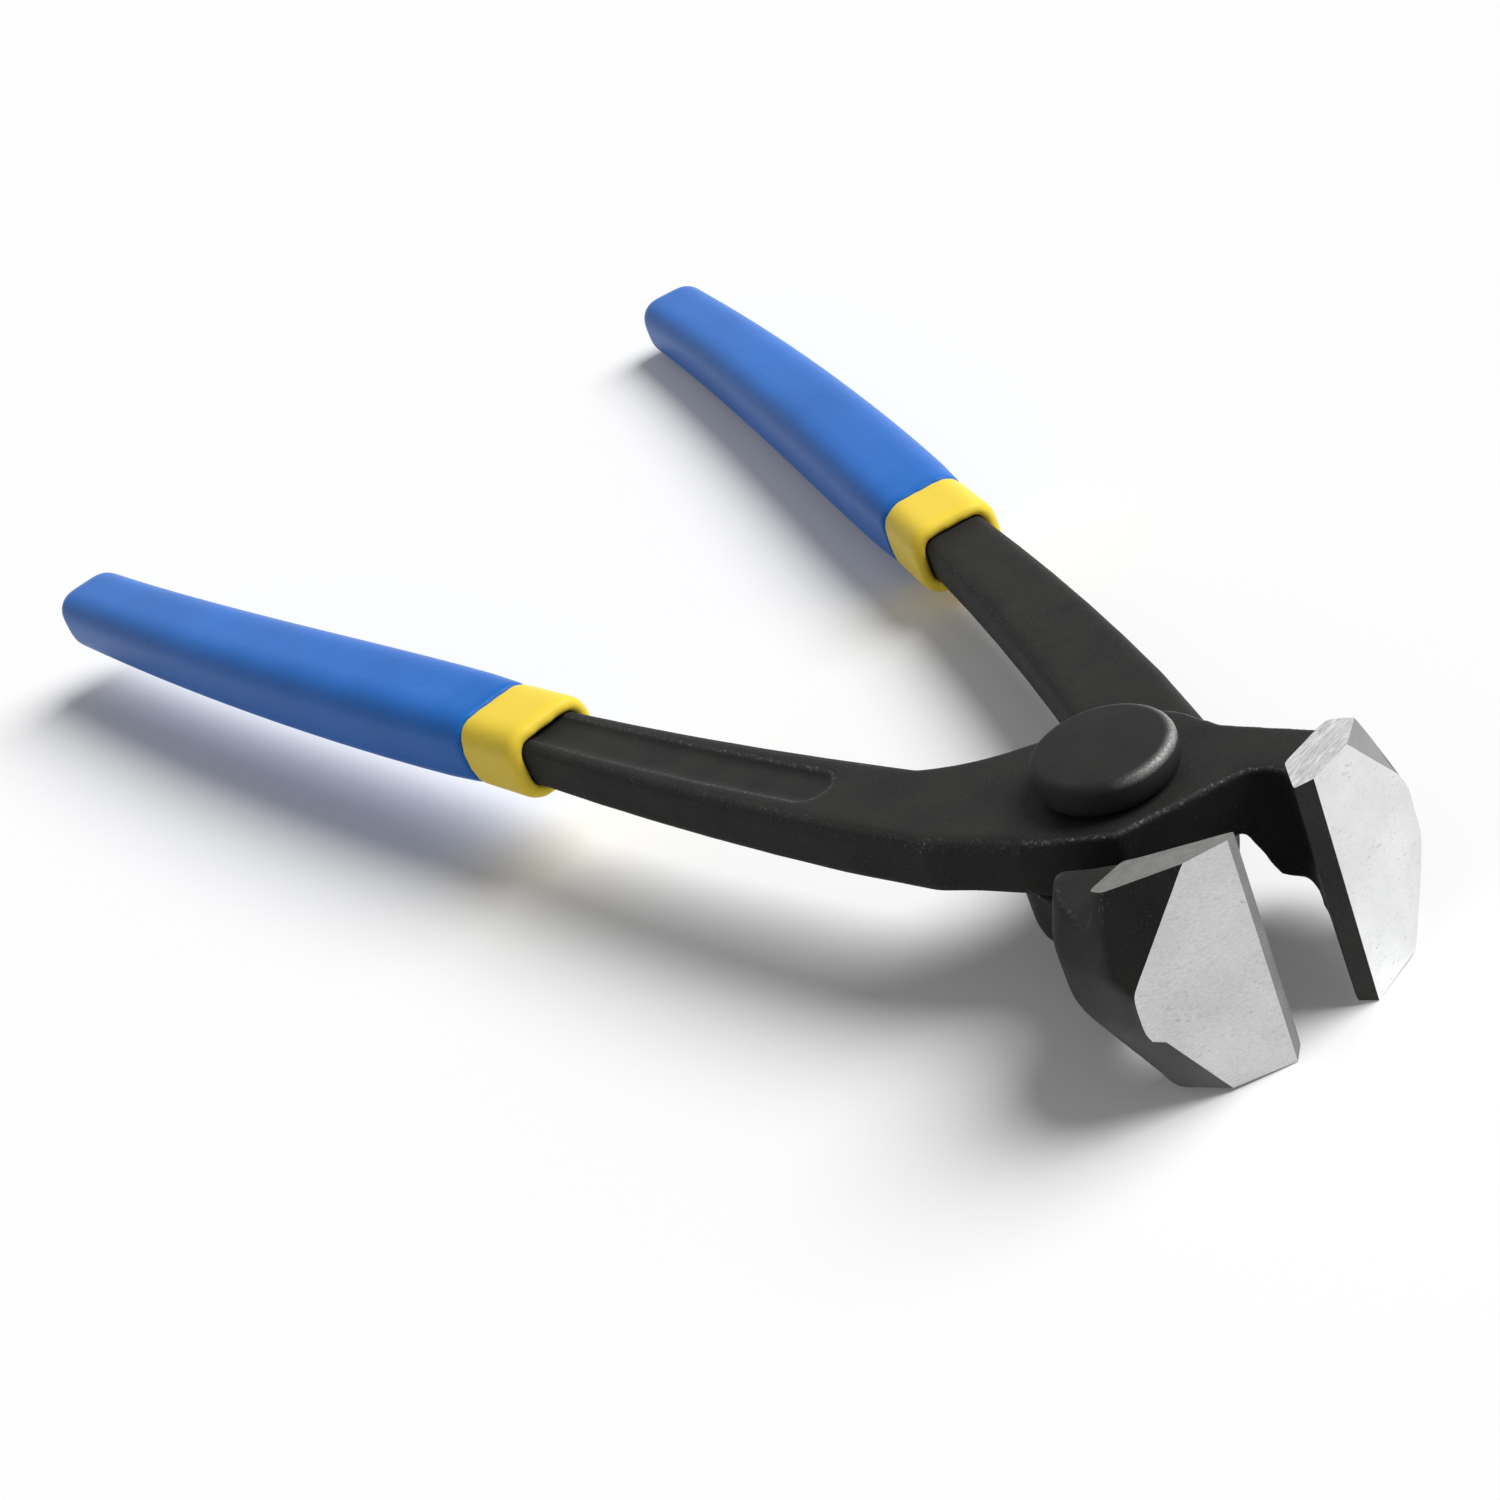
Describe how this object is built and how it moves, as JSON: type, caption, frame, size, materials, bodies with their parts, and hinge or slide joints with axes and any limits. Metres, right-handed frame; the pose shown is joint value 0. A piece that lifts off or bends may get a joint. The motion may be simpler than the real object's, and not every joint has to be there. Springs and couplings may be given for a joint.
{
  "type": "end cutting nippers",
  "caption": "Hand pincers with lapped forged levers on a large flat rivet, blunt upright lips across the end and dipped vinyl grips.",
  "frame": {"origin": "centre of the flat face of the upper rivet head, on the pivot axis", "axes": "+Z out of the upper rivet head along the pivot axis, +X from the pivot to the lips, +Y to the jaw of the upper lever"},
  "size_m": [0.2236, 0.1198, 0.0281],
  "materials": {
    "forged_steel": "matt black oxide, ground bright on the jaw faces",
    "rivet_steel": "matt black oxide, worn bright at the rim",
    "vinyl_yellow": "soft dipped vinyl",
    "vinyl_blue": "soft dipped vinyl"
  },
  "bodies": {
    "upper_half": {"upper_lever": "forged_steel", "pivot_rivet": "rivet_steel", "upper_collar": "vinyl_yellow", "upper_grip": "vinyl_blue"},
    "lower_half": {"lower_lever": "forged_steel", "lower_collar": "vinyl_yellow", "lower_grip": "vinyl_blue"}
  },
  "joints": [
    {"name": "jaw_pivot", "type": "hinge", "parent": "upper_half", "child": "lower_half", "pos_m": [0, 0, -0.01165], "axis": [0, 0, 1], "range_deg": [-24, 16.4]}
  ]
}
